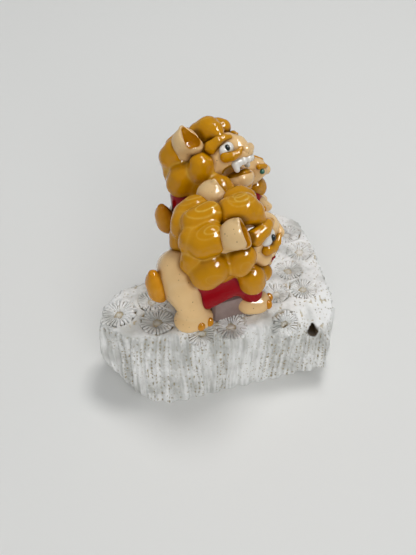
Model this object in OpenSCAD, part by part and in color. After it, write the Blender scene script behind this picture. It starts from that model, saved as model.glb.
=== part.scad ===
// Two guardian lions and a cub on a block of fossil star coral.
// The lions are small hand-built pottery figures: separately shaped lumps of clay
// joined with slip, glazed mustard, red and cream, and glued to the coral.
// Millimetres. The origin is under the middle of the block, +X is where the
// lions look and +Z is up.

/* [Coral block] */
// Length of the block
coral_l = 77; // [74:1:88]
// Depth of the block, front to back
coral_w = 62; // [60:1:70]
// Height of the block's top
coral_h = 27; // [20:1:36]
// Width of a star-shaped cup where a polyp sat
cup_d = 9.6; // [7:0.2:11]
// Depth of a cup
cup_depth = 1.4; // [0.8:0.1:2.2]
// Radial slots in each cup
cup_slots = 12; // [8:1:16]
// Width of a radial slot
slot_w = 0.7; // [0.4:0.1:1]
// Depth of the grooves between the columns down the sides
rib_depth = 0.8; // [0.3:0.1:1.2]
// Distance between the grooves down the sides
rib_pitch = 4.8; // [3.2:0.4:8]
// Diameter of the old worm hole in the front corner
worm_d = 2.6; // [1.6:0.2:3.6]

/* [Near lion] */
// Height of the near lion's crest above the coral, standing
near_h = 40; // [36:0.5:44]
// Where the near lion stands along the block
near_x = -2; // [-5:0.5:3]
// Where the near lion stands across the block
near_y = -12; // [-13:0.5:-11]
// How far the near lion's head tips down
near_pitch = 0; // [-8:1:12]

/* [Rear lion] */
// Size of the rear lion, as the height of the same figure standing
rear_h = 38; // [34:0.5:40]
// Where the rear lion sits along the block
rear_x = 9; // [7:0.5:12]
// Where the rear lion sits across the block
rear_y = 17; // [16:0.5:18]
// Turn of the rear lion's head towards the near side
rear_yaw = 30; // [14:1:38]
// Lift of the rear lion's chin
rear_lift = 31; // [16:1:36]
// Sideways lean of the rear lion's head
rear_lean = 28; // [14:1:32]

/* [Cub] */
// Height of the cub above the coral
cub_h = 21; // [17:0.5:24]
// Where the cub sits along the block
cub_x = 25; // [24:0.5:27]
// Where the cub sits across the block
cub_y = 25.5; // [24:0.5:27]

/* [Modelled pieces] */
// Radius of the big rolled lobes of the mane
lobe_r = 4.4; // [3.8:0.1:4.8]
// Radius of the crest's main lump
crest_r = 5; // [4:0.1:6]
// Radius of an eyeball
eye_r = 2; // [1.6:0.1:2.4]
// Radius of a pupil
pupil_r = 0.9; // [0.6:0.1:1.2]
// Radius of the brow pellets
brow_r = 2.8; // [2.3:0.1:3.2]
// Radius of the whisker curls
curl_r = 2; // [1.6:0.1:2.3]
// Radius of an ear's outer shell
ear_r = 4.2; // [3.6:0.1:4.6]
// Wall of an ear
ear_wall = 1.2; // [0.9:0.1:1.6]
// Radius of a claw bead
claw_r = 1.3; // [1:0.1:1.5]
// Height of a tail leaf
tail_h = 12; // [9:0.5:14]
// Length of the rear lion's fangs
fang_l = 2.6; // [1.8:0.1:3.2]

/* [Pads] */
// Length of the clay pad under the near lion's belly
pad_l = 11; // [9:0.5:12]
// Width of the clay pad under the near lion's belly
pad_w = 15; // [10:0.5:16]
// Length of the clay pad under the rear lion
rear_pad_l = 8; // [6:0.5:10]
// Width of the clay pad under the rear lion
rear_pad_w = 6; // [4:0.5:8]

/* [Hidden] */

mustard = [0.76, 0.53, 0.05];
amber = [0.86, 0.55, 0.05];
cream = [0.90, 0.79, 0.60];
red = [0.60, 0.05, 0.14];
white = [0.95, 0.94, 0.92];
ink = [0.07, 0.12, 0.13];
coral_white = [0.84, 0.84, 0.82];
bisque = [0.62, 0.55, 0.57];
green = [0.16, 0.38, 0.32];

// The figures are drawn at this height and scaled to near_h, rear_h and cub_h
drawn_h = 40;
drawn_cub_h = 21;
// How far the near pad lies ahead of the middle of the feet
pad_ahead = 2.1;
// How far each lion's front and hind feet lie ahead of its middle
near_reach = 9.8;
near_hind = -9.6;
rear_reach = 6.6;
rear_hind = -5;
// Facets round a ball: bodies, mane lobes, legs, small applied pieces
body_fn = 14;
lobe_fn = 12;
leg_fn = 10;
bead_fn = 8;

// Rim of the block seen from above, as shares of its length and depth
rim = [[-0.50, -0.13], [-0.40, -0.30], [-0.28, -0.40], [-0.02, -0.41], [0.24, -0.435],
  [0.37, -0.50], [0.435, -0.39], [0.455, -0.195], [0.487, 0.03], [0.50, 0.225],
  [0.475, 0.37], [0.41, 0.45], [0.24, 0.50], [0.06, 0.50], [-0.055, 0.435],
  [-0.065, 0.29], [-0.155, 0.153], [-0.234, 0.073], [-0.357, 0.065], [-0.448, 0.016]];
// Broken faces of the block: a point as shares of its sizes, and the way out of the stone
breaks = [
  [[-0.33, -0.30, 1], [-0.22, -0.96, 0.19]],
  [[-0.38, -0.276, 0], [-0.80, -0.25, -0.50]],
  [[0.25, -0.42, 0], [0.30, -0.10, -0.95]],
  [[0.33, -0.34, 1], [0.10, -0.57, 0.81]],
  [[-0.41, -0.065, 1], [-0.45, 0.20, 0.87]],
  [[0.40, 0.40, 0.9], [0.60, 0.60, 0.40]],
  [[0.10, 0.46, 0], [0.05, 0.75, -0.60]]];
// Cups on the top: place as shares of the block's sizes, and size as a share of cup_d
cups = [[-0.408, -0.095, 1.05], [-0.275, -0.215, 1.0], [-0.262, -0.075, 0.9],
  [0.225, -0.235, 0.95], [0.335, -0.25, 1.0], [0.41, 0.16, 0.95], [0.415, 0.01, 0.9],
  [0.325, -0.10, 0.95], [0.29, 0.10, 0.95], [0.02, 0.055, 0.9], [0.18, 0.03, 0.95],
  [0.20, 0.43, 0.7]];

// Both sides of a figure
module both() {
  children();
  mirror([0, 1, 0]) children();
}

// A ball of clay pressed to three radii
module ball(at, r, fn = body_fn) {
  hull() translate(at) scale(r) sphere(r = 1, $fn = fn);
}

// A lump rolled between two balls of clay
module roll(from, to, r0, r1, fn = lobe_fn) {
  hull() {
    ball(from, r0, fn = fn);
    ball(to, r1, fn = fn);
  }
}

// Where each figure stands and how its head is held
module near_at() { translate([near_x, near_y, coral_h]) scale(near_h / drawn_h) children(); }
module rear_at() { translate([rear_x, rear_y, coral_h]) scale(rear_h / drawn_h) children(); }
module cub_at() { translate([cub_x, cub_y, coral_h]) scale(cub_h / drawn_cub_h) children(); }
module near_neck() { near_at() translate([1.9, 0, 22.2]) rotate([0, near_pitch, 0]) children(); }
module rear_neck() {
  rear_at() translate([-3.5, -1.2, 30.2]) rotate([-rear_lean, -rear_lift, -rear_yaw])
    scale(0.92) children();
}

// Everything below the coral's top, where feet are pressed flat
module below_top() {
  translate([-coral_l, -coral_w, coral_h - 20]) cube([2 * coral_l, 2 * coral_w, 20]);
}

// The coral block and its carved detail

module broken_face(at, out) {
  n = out / norm(out);
  translate([at[0] * coral_l, at[1] * coral_w, at[2] * coral_h])
    rotate([0, acos(n[2]), atan2(n[1], n[0])])
      translate([-90, -90, 0]) cube([180, 180, 60]);
}

module cup(size) {
  d = cup_d * size;
  dish_r = (pow(d * 0.36, 2) + pow(cup_depth, 2)) / (2 * cup_depth);
  translate([0, 0, dish_r - cup_depth]) sphere(r = dish_r, $fn = 48);
  for (i = [0 : cup_slots - 1])
    rotate([0, 0, i * 360 / cup_slots])
      translate([d * 0.30, -slot_w / 2, -cup_depth * 0.8]) cube([d * 0.2, slot_w, cup_depth + 2]);
}

// Upright grooves between the coral's columns, evenly spaced along every side of the rim
module side_grooves() {
  for (i = [0 : len(rim) - 1]) {
    from = [rim[i][0] * coral_l, rim[i][1] * coral_w];
    next = rim[(i + 1) % len(rim)];
    to = [next[0] * coral_l, next[1] * coral_w];
    run = norm(to - from);
    out = [to[1] - from[1], from[0] - to[0]] / run;
    count = round(run / rib_pitch);
    if (count > 0)
      for (k = [0 : count - 1]) {
        p = from + (to - from) * (k + 0.5) / count + out * 0.3;
        translate([p[0], p[1], -1]) rotate([0, 0, atan2(out[1], out[0])])
          cylinder(r = rib_depth + 0.3, h = coral_h + 2, $fn = 8);
      }
  }
}

module coral_block() {
  color(coral_white)
    difference() {
      linear_extrude(coral_h) polygon([for (p = rim) [p[0] * coral_l, p[1] * coral_w]]);
      for (b = breaks) broken_face(b[0], b[1]);
      for (c = cups) translate([c[0] * coral_l, c[1] * coral_w, coral_h]) cup(c[2]);
      side_grooves();
      translate([0.31 * coral_l, -0.5 * coral_w - 2, coral_h * 0.74]) rotate([-80, 0, 0])
        cylinder(d = worm_d, h = 9, $fn = 32);
    }
}

// Forms shared by both lions, in the figure's own frame with its feet at z = 0

module trunk_form() {
  roll([-6.5, 0, 16.5], [4.5, 0, 17], [8, 8, 7.5], [7.5, 7.5, 7.5], body_fn);
  both() {
    roll([-5.2, 4.6, 9], [3.5, 4.4, 11], 4.4, 4, leg_fn);
    roll([6.8, 4.8, 12], [9.2, 6, 6.6], 4, 3.5, leg_fn);
  }
}

module sitting_trunk_form() {
  roll([-7, 0, 12], [-7.5, 0, 21.5], [8.5, 8, 7], [8.5, 8.2, 8], body_fn);
  roll([-7, 0, 12], [1, 0, 20.5], 7, 7, body_fn);
  both() roll([2.5, 4.2, 17], [6.4, 5.4, 6], 4, 3.4, leg_fn);
}

module hind_form() {
  roll([-11.6, 0, 15.2], [-11.8, 0, 13.4], [6.2, 8, 8], [6.2, 8.2, 7.8], body_fn);
  both() {
    roll([-12, 5.6, 14], [-9.6, 6.6, 5.5], [4.4, 3.8, 5], [4.3, 3.7, 4], leg_fn);
    roll([-11, 7.2, 3.2], [-8, 7.2, 3.2], [4.6, 4.3, 3.7], [4.4, 4.3, 3.5], leg_fn);
  }
}

module sitting_hind_form() {
  roll([-10.3, 0, 10.4], [-10.7, 0, 8.6], [6.8, 7.8, 8], [7, 8, 8], body_fn);
  both() {
    roll([-8.5, 6, 8], [-6, 6.8, 6], [5, 3.6, 6], [4, 3.4, 4], leg_fn);
    roll([-7.5, 7, 3], [-3.5, 7, 2.8], [4.4, 4, 3.4], [4, 3.9, 3.2], leg_fn);
  }
}

module forepaw_form(reach) {
  both() roll([reach - 1.2, 6.6, 3.1], [reach + 1.2, 6.9, 2.9], [4, 4, 3.5], [4, 4.1, 3.3], leg_fn);
}

module tail_form() {
  hull() {
    ball([-18.3, 0, 12], [2.7, 4.1, tail_h * 0.36]);
    ball([-19.4, 0, 11.3 + tail_h * 0.55], [1.4, 1.6, 1.4]);
  }
}

module claws_form(front, hind) {
  both() {
    ball([front + 3.7, 9.5, 3.2], [claw_r, claw_r, claw_r * 1.2], bead_fn);
    ball([front + 5, 6.9, 3.2], [claw_r, claw_r, claw_r * 1.2], bead_fn);
    ball([hind + 1, 11, 3.2], [claw_r, claw_r, claw_r * 1.2], bead_fn);
    ball([hind + 3.9, 10.3, 3.3], [claw_r, claw_r, claw_r * 1.2], bead_fn);
  }
}

// Forms of the head, in its own frame with the middle of the mane at the origin

module mane_lumps_form(chin = true) {
  roll([-2.5, 0, -0.5], [1, 0, 0.5], [9.6, 9.6, 10.6], [9, 9.4, 10.6], body_fn);
  roll([-8.6, 0, 12.2], [-3.6, 0, 13.5], lobe_r * 0.82, lobe_r * 0.86);
  both() {
    roll([-8.2, 6, 9.2], [-5.6, 6.4, 10.2], lobe_r * 1.04, lobe_r * 1.08);
    roll([-8, 8.4, -0.6], [-6, 8.8, 1.2], lobe_r * 1.1, lobe_r * 1.1);
    roll([1.6, 9.2, 1.2], [2.8, 9.2, 3.2], lobe_r * 0.94, lobe_r * 0.92);
    roll([6.6, 8, -8.8], [6.2, 8.2, -6.6], lobe_r * 0.94, lobe_r * 0.94);
    if (chin) roll([11, 5, -9.2], [10.8, 2.6, -10], lobe_r * 0.7, lobe_r * 0.7, leg_fn);
    roll([-12, 3.4, 8.2], [-11.6, 3.6, 9.8], lobe_r * 0.78, lobe_r * 0.8, leg_fn);
    roll([-12.2, 4.4, 1.8], [-12, 4.8, 4], lobe_r * 0.76, lobe_r * 0.74, leg_fn);
  }
}

module mane_form(chin = true) {
  difference() {
    mane_lumps_form(chin);
    skull_form();
  }
}

module skull_form() {
  roll([5.5, 0, 1], [7, 0, 1.5], [8, 7.8, 8.8], [7.8, 7.6, 8.2], body_fn);
}

module nose_bridge_form() {
  roll([10.6, 0, 6.6], [14, 0, 4.6], [4, 4.6, 3.6], [3, 3.6, 3], leg_fn);
  roll([14, 0, 4.6], [15.8, 0, 1.4], [3, 3.6, 3], [2.6, 3.4, 2.6], leg_fn);
}

module closed_muzzle_form() {
  nose_bridge_form();
  roll([11.6, 0, -2.8], [13.4, 0, -3], [4.6, 5.4, 4.4], [4.2, 5.1, 4.3], leg_fn);
  ball([12.6, 0, -7.8], [3.4, 4.4, 3.1], leg_fn);
  both() ball([10.4, 6.3, -2.2], [2.6, 2.4, 2.5], bead_fn);
}

module open_muzzle_form() {
  nose_bridge_form();
  roll([12.6, 0, 0.6], [15.6, 0, 1.4], [4.4, 5.4, 2.8], [2.6, 4, 2.2]);
}

// The hollow of the open mouth, cut from the skull and from the jaw
module mouth_form() {
  roll([9.8, 0, -2.8], [16, 0, -3], [4, 7.4, 3], [4, 6, 2.8], body_fn);
}

module jaw_lump_form() {
  roll([8.5, 0, -6.3], [11.9, 0, -6.1], [4.9, 6.3, 3.9], [3.5, 4.9, 3.2]);
}

module jaw_form() {
  difference() {
    jaw_lump_form();
    mouth_form();
  }
}

module tongue_form() {
  roll([9.4, 0, -5.4], [12.8, 0, -5.2], [3.2, 4.2, 1.8], [2.2, 3, 1.4], leg_fn);
}

module crest_form() {
  roll([2.4, -0.3, 12.8], [6.3, -0.7, 13], crest_r * 0.88, crest_r * 0.94);
  roll([7.6, -1.3, 12.1], [10, -2.9, 10.1], crest_r * 0.68, crest_r * 0.44);
  roll([5.1, 4.7, 12.7], [9.1, 4.8, 12.1], crest_r * 0.66, crest_r * 0.61);
}

module ear_form(side) {
  scale([1, side, 1])
    difference() {
      union() {
        roll([-2.2, 7.4, 9], [0.4, 9.2, 12.4], ear_r * 0.8, [ear_r * 1.08, ear_r * 1.05, ear_r * 1.12]);
        roll([0.4, 9.2, 12.8], [1.4, 9.2, 16.1], ear_r, ear_r * 0.4);
      }
      translate([2.2, 10.3, 13.1]) rotate([0, 71, 32]) translate([-9, -9, 0]) cube([18, 18, 9]);
      roll([1.7, 10, 12.8], [2.4, 9.9, 15.2], ear_r - ear_wall * 0.8, ear_r * 0.36, leg_fn);
    }
}

module brows_form() {
  both() {
    roll([7.4, 6.9, 7.1], [10.6, 5.7, 8.3], [brow_r * 1.04, brow_r * 0.98, brow_r], brow_r * 0.78, bead_fn);
    roll([10.6, 5.7, 8.3], [13.6, 3, 8], brow_r * 0.78, brow_r * 0.42, bead_fn);
  }
}

module eyes_form() {
  both() roll([11.3, 6, 4.3], [12.7, 4.6, 4.8], [eye_r * 0.9, eye_r * 0.9, eye_r * 1.05],
    [eye_r * 0.9, eye_r * 0.9, eye_r * 1.05], bead_fn);
}

module pupils_form() {
  both() ball([13.1, 6.5, 5], [pupil_r * 0.9, pupil_r, pupil_r * 1.3], bead_fn);
}

module curls_form() {
  both() {
    roll([11.4, 6.9, 1.4], [13.6, 6, 0.9], curl_r, curl_r * 0.86, bead_fn);
    roll([13.6, 6, 0.9], [16.4, 3.7, 2.6], curl_r * 0.86, curl_r * 0.42, bead_fn);
  }
}

module nose_form() {
  roll([17.2, -2, 2.2], [17.2, 2, 2.2], [1.6, 1.6, 1.8], [1.6, 1.6, 1.8], bead_fn);
}

module lips_form() {
  both() roll([13.5, 4.5, -5.7], [15.2, 3.3, -5.7], 0.7, 0.7, bead_fn);
}

module teeth_form() {
  both() {
    ball([16.4, 1.1, -1.3], [1, 1, 1.3], 8);
    ball([15, 3, -1.5], [1, 1, 1.3], 8);
    roll([13, 4.6, -1.4], [12.8, 4.8, -1.4 - fang_l], 1.15, 0.6, 8);
  }
}

// Near lion, standing with its mouth closed

module near_trunk_solid() { near_at() trunk_form(); }
module near_head_solid() {
  near_neck() {
    skull_form();
    closed_muzzle_form();
  }
}

module near_trunk() { color(red) near_trunk_solid(); }

module near_pad() {
  color(bisque)
    difference() {
      near_at() translate([pad_ahead - pad_l / 2, -pad_w / 2, 0]) cube([pad_l, pad_w, 8]);
      near_trunk_solid();
      near_at() forepaw_form(near_reach);
    }
}

module near_hindquarters() {
  color(cream)
    difference() {
      near_at() hind_form();
      near_trunk_solid();
      near_neck() mane_form();
      below_top();
    }
}

module near_forepaws() {
  color(cream)
    difference() {
      near_at() forepaw_form(near_reach);
      near_trunk_solid();
      below_top();
    }
}

module near_tail() {
  color(amber)
    difference() {
      near_at() tail_form();
      near_at() hind_form();
    }
}

module near_claws() {
  color(amber)
    difference() {
      near_at() claws_form(near_reach, near_hind);
      near_at() forepaw_form(near_reach);
      near_at() hind_form();
      below_top();
    }
}

module near_head() {
  color(cream)
    difference() {
      near_head_solid();
      near_trunk_solid();
      near_neck() mane_form();
    }
}

module near_mane() {
  color(mustard)
    difference() {
      near_neck() mane_form();
      near_trunk_solid();
    }
}

module near_crest() {
  color(mustard)
    difference() {
      near_neck() crest_form();
      near_neck() mane_lumps_form();
      near_head_solid();
    }
}

module near_ear(side) {
  color(cream)
    difference() {
      near_neck() ear_form(side);
      near_neck() mane_form();
      near_neck() crest_form();
      near_head_solid();
    }
}
module near_ear_left() { near_ear(1); }
module near_ear_right() { near_ear(-1); }

module near_brows() {
  color(mustard)
    difference() {
      near_neck() brows_form();
      near_head_solid();
      near_neck() crest_form();
      near_neck() mane_form();
      near_neck() {
        ear_form(1);
        ear_form(-1);
      }
    }
}

module near_eyes() {
  color(white)
    difference() {
      near_neck() eyes_form();
      near_head_solid();
      near_neck() brows_form();
    }
}

module near_pupils() {
  color(ink)
    difference() {
      near_neck() pupils_form();
      near_neck() eyes_form();
      near_head_solid();
    }
}

module near_whisker_curls() {
  color(mustard)
    difference() {
      near_neck() curls_form();
      near_head_solid();
      near_neck() eyes_form();
      near_neck() pupils_form();
    }
}

module near_nose() {
  color(cream)
    difference() {
      near_neck() nose_form();
      near_head_solid();
      near_neck() curls_form();
    }
}

module near_lips() {
  color(red)
    difference() {
      near_neck() lips_form();
      near_head_solid();
    }
}

// Rear lion, sitting with its head up and its mouth open

module rear_trunk_solid() { rear_at() sitting_trunk_form(); }
module rear_head_solid() {
  rear_neck() difference() {
    union() {
      skull_form();
      open_muzzle_form();
    }
    mouth_form();
  }
}

module rear_trunk() { color(red) rear_trunk_solid(); }

module rear_pad() {
  color(bisque)
    difference() {
      rear_at() translate([-rear_pad_l / 2, -rear_pad_w / 2, 0]) cube([rear_pad_l, rear_pad_w, 10]);
      rear_trunk_solid();
      rear_at() sitting_hind_form();
    }
}

module rear_hindquarters() {
  color(cream)
    difference() {
      rear_at() sitting_hind_form();
      rear_trunk_solid();
      below_top();
    }
}

module rear_forepaws() {
  color(cream)
    difference() {
      rear_at() forepaw_form(rear_reach);
      rear_trunk_solid();
      below_top();
    }
}

module rear_tail() {
  color(amber)
    difference() {
      rear_at() tail_form();
      rear_at() sitting_hind_form();
      rear_trunk_solid();
    }
}

module rear_claws() {
  color(amber)
    difference() {
      rear_at() claws_form(rear_reach, rear_hind);
      rear_at() forepaw_form(rear_reach);
      rear_at() sitting_hind_form();
      below_top();
    }
}

module rear_head() {
  color(cream)
    difference() {
      rear_head_solid();
      rear_trunk_solid();
      rear_neck() mane_form(chin = false);
    }
}

module rear_lower_jaw() {
  color(cream)
    difference() {
      rear_neck() jaw_form();
      rear_neck() skull_form();
      rear_trunk_solid();
    }
}

module rear_mane() {
  color(mustard)
    difference() {
      rear_neck() mane_form(chin = false);
      rear_trunk_solid();
      rear_neck() jaw_lump_form();
    }
}

module rear_crest() {
  color(mustard)
    difference() {
      rear_neck() crest_form();
      rear_neck() mane_lumps_form(chin = false);
      rear_head_solid();
    }
}

module rear_ear(side) {
  color(cream)
    difference() {
      rear_neck() ear_form(side);
      rear_neck() mane_form(chin = false);
      rear_neck() crest_form();
      rear_head_solid();
    }
}
module rear_ear_left() { rear_ear(1); }
module rear_ear_right() { rear_ear(-1); }

module rear_brows() {
  color(mustard)
    difference() {
      rear_neck() brows_form();
      rear_head_solid();
      rear_neck() crest_form();
      rear_neck() mane_form(chin = false);
      rear_neck() {
        ear_form(1);
        ear_form(-1);
      }
    }
}

module rear_eyes() {
  color(white)
    difference() {
      rear_neck() eyes_form();
      rear_head_solid();
      rear_neck() brows_form();
    }
}

module rear_pupils() {
  color(ink)
    difference() {
      rear_neck() pupils_form();
      rear_neck() eyes_form();
      rear_head_solid();
    }
}

module rear_whisker_curls() {
  color(mustard)
    difference() {
      rear_neck() curls_form();
      rear_head_solid();
      rear_neck() eyes_form();
      rear_neck() pupils_form();
    }
}

module rear_nose() {
  color(cream)
    difference() {
      rear_neck() nose_form();
      rear_head_solid();
      rear_neck() curls_form();
    }
}

module rear_teeth() {
  color(white)
    difference() {
      rear_neck() teeth_form();
      rear_head_solid();
    }
}

module rear_tongue() {
  color(mustard)
    difference() {
      rear_neck() tongue_form();
      rear_neck() jaw_form();
      rear_head_solid();
      rear_neck() mane_form(chin = false);
      rear_neck() teeth_form();
    }
}

// Cub, a small figure sitting up in front of the rear lion

module cub_trunk_form() {
  roll([-0.4, 0, 4.4], [0.4, 0, 10], [4, 3.8, 4.4], [3.2, 3.2, 3.4], leg_fn);
}

module cub_head_form() {
  roll([-0.8, 0, 15.8], [1.4, 0, 17.2], [3.8, 3.9, 4], [3.3, 3.6, 3.6], leg_fn);
  roll([2.4, 0, 16.6], [4.6, 0, 16], 2.4, 1.7, bead_fn);
}

module cub_haunch_form() {
  both() roll([-1.8, 3, 3], [1, 3.4, 1.5], [2.6, 1.9, 3], [2.4, 1.8, 1.5], bead_fn);
}

module cub_paw_form() {
  both() roll([2, 1.8, 5.2], [4.6, 2.1, 1.5], [1.7, 1.6, 1.7], [2.2, 1.8, 1.6], bead_fn);
}

module cub_mane_form() {
  roll([0.6, 0, 11.6], [2.6, 0, 9.6], [3.4, 4.2, 2.6], [2.4, 3.4, 3.4], leg_fn);
}

module cub_brow_form() {
  both() roll([1, 2.7, 19.9], [3.5, 1.7, 18.9], 1, 0.9, bead_fn);
}

module cub_body() {
  color(red)
    difference() {
      cub_at() cub_trunk_form();
      below_top();
    }
}

module cub_haunches() {
  color(cream)
    difference() {
      cub_at() cub_haunch_form();
      cub_at() cub_trunk_form();
      below_top();
    }
}

module cub_paws() {
  color(cream)
    difference() {
      cub_at() cub_paw_form();
      cub_at() cub_trunk_form();
      cub_at() cub_haunch_form();
      below_top();
    }
}

module cub_head() {
  color(cream)
    difference() {
      cub_at() cub_head_form();
      cub_at() cub_trunk_form();
      cub_at() cub_mane_form();
    }
}

module cub_mane() {
  color(mustard)
    difference() {
      cub_at() cub_mane_form();
      cub_at() cub_trunk_form();
      cub_at() cub_paw_form();
    }
}

module cub_ears() {
  color(cream)
    difference() {
      cub_at() both() roll([-2.6, 2.9, 17.4], [-2.7, 3.9, 18.8], 1.5, 1.4, bead_fn);
      cub_at() cub_head_form();
    }
}

module cub_brows() {
  color(mustard)
    difference() {
      cub_at() cub_brow_form();
      cub_at() cub_head_form();
    }
}

module cub_eyes() {
  color(green)
    difference() {
      cub_at() both() ball([1.9, 3.3, 18.2], 0.9, bead_fn);
      cub_at() cub_head_form();
      cub_at() cub_brow_form();
    }
}

module cub_tail() {
  color(amber)
    difference() {
      cub_at() roll([-4.4, 0, 3.6], [-5, 0, 6.4], [1.2, 1.8, 1.9], [0.8, 0.9, 0.9], bead_fn);
      cub_at() cub_trunk_form();
      cub_at() cub_haunch_form();
    }
}

coral_block();
near_pad();
near_trunk();
near_hindquarters();
near_forepaws();
near_tail();
near_claws();
near_head();
near_mane();
near_crest();
near_ear_left();
near_ear_right();
near_brows();
near_eyes();
near_pupils();
near_whisker_curls();
near_nose();
near_lips();
rear_pad();
rear_trunk();
rear_hindquarters();
rear_forepaws();
rear_tail();
rear_claws();
rear_head();
rear_lower_jaw();
rear_mane();
rear_crest();
rear_ear_left();
rear_ear_right();
rear_brows();
rear_eyes();
rear_pupils();
rear_whisker_curls();
rear_nose();
rear_teeth();
rear_tongue();
cub_body();
cub_haunches();
cub_paws();
cub_head();
cub_mane();
cub_ears();
cub_brows();
cub_eyes();
cub_tail();
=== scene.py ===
import itertools
import math

import bpy
import numpy as np
from mathutils import Euler, Matrix, Vector


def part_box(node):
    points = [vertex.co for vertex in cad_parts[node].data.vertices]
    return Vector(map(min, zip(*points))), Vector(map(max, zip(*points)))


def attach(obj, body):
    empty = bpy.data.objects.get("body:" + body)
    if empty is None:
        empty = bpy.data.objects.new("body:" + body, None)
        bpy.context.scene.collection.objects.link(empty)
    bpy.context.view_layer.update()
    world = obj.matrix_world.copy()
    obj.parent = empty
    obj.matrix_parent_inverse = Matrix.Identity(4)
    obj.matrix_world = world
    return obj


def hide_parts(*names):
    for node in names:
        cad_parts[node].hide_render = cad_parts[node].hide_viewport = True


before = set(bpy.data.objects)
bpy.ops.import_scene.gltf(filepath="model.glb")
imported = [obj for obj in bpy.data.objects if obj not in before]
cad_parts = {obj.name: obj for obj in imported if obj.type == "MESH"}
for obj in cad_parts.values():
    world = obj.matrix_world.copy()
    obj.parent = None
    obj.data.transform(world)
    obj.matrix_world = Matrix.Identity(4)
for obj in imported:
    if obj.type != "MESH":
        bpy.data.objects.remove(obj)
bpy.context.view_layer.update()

# Camera
# It looks down at the ornament from its near left side, as the photograph does.
# Its lens is given by the photograph's height and its focal length, both in pixels.
photo_height = 555
focal_length = 896
camera_aim = Vector((-0.0015, -0.004, 0.030))
camera_turn = math.radians(-20)
camera_rise = math.radians(44)
camera_reach = 0.280
camera_way = Vector((math.cos(camera_rise) * math.sin(camera_turn),
                     -math.cos(camera_rise) * math.cos(camera_turn),
                     math.sin(camera_rise)))

camera = bpy.data.objects.new("camera", bpy.data.cameras.new("camera"))
camera.data.sensor_width = 36
camera.data.lens = 36 * focal_length / photo_height
camera.data.clip_start = 0.01
camera.location = camera_aim + camera_way * camera_reach
camera.rotation_euler = camera_way.to_track_quat("Z", "Y").to_euler()
bpy.context.scene.collection.objects.link(camera)
bpy.context.scene.camera = camera

# Coral block
# A broken lump of fossil star coral, the stone that the figures are glued to. It was sawn
# and knocked out of an old reef, so its edges are worn round, its sides show the coral's
# upright tubes as columns with rows of pores, and its top shows the tubes' star-shaped cups.
block_low, block_high = (np.array(corner) * 1000 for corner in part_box("coral_block"))
block_size = block_high - block_low
block_cell = 0.29
block_rim = np.array([
    (-0.50, -0.13), (-0.40, -0.30), (-0.28, -0.40), (-0.02, -0.41), (0.24, -0.435),
    (0.37, -0.50), (0.435, -0.39), (0.455, -0.195), (0.487, 0.03), (0.50, 0.225),
    (0.475, 0.37), (0.41, 0.45), (0.24, 0.50), (0.06, 0.50), (-0.055, 0.435),
    (-0.065, 0.29), (-0.155, 0.153), (-0.234, 0.073), (-0.357, 0.065), (-0.448, 0.016)])
block_breaks = [
    ((-0.33, -0.30, 1), (-0.22, -0.96, 0.19)), ((-0.38, -0.276, 0), (-0.80, -0.25, -0.50)),
    ((0.25, -0.42, 0), (0.30, -0.10, -0.95)), ((0.33, -0.34, 1), (0.10, -0.57, 0.81)),
    ((-0.41, -0.065, 1), (-0.45, 0.20, 0.87)), ((0.40, 0.40, 0.9), (0.60, 0.60, 0.40)),
    ((0.10, 0.46, 0), (0.05, 0.75, -0.60))]
block_cups = [
    (-0.408, -0.095, 1.08), (-0.275, -0.215, 1.05), (-0.262, -0.075, 0.9), (0.225, -0.235, 0.84),
    (0.338, -0.25, 0.86), (0.41, 0.16, 0.88), (0.415, 0.01, 0.88), (0.325, -0.10, 0.86),
    (0.29, 0.10, 0.86), (0.02, 0.055, 0.9), (0.18, 0.03, 0.9), (0.20, 0.43, 0.7),
    (-0.01, -0.365, 0.95), (0.205, -0.43, 0.85), (0.07, -0.27, 0.8), (-0.13, -0.35, 0.8)]
cup_width = 10.8
cup_depth = 1.1
edge_wear = 1.6
worm_width = 3.0
worm_length = 10
worm_tilt = math.radians(80)
worm_mouth = (0.31, -0.5, 0.74)
groove_depth = 0.8
groove_pitch = 4.8
groove_centre = 0.3
rib_height = 0.3
rib_pitch = 2.4
hollow_depth = 0.4
hollow_pitch = (1.9, 2.3)
coral_triangles = 195000


def smooth_max(a, b, blend):
    """The larger of two distances, rounded where they meet."""
    return np.maximum(a, b) + np.maximum(blend - np.abs(a - b), 0) ** 2 / (4 * blend)


def fade(value, start, end):
    """Rise smoothly from 0 at start to 1 at end."""
    part = np.clip((value - start) / (end - start), 0, 1)
    return part * part * (3 - 2 * part)


def mottle(points, size, seed):
    """Random values from -1 to 1 that change smoothly over a size in millimetres."""
    table = np.random.default_rng(seed).uniform(-1, 1, (32, 32, 32))
    spot = points / size
    corner = np.floor(spot).astype(int)
    part = spot - corner
    part = part * part * (3 - 2 * part)
    total = np.zeros(len(points))
    for step in itertools.product((0, 1), repeat=3):
        weight = np.prod(np.where(step, part, 1 - part), axis=1)
        i, j, k = ((corner + step) % 32).T
        total += weight * table[i, j, k]
    return total


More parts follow.
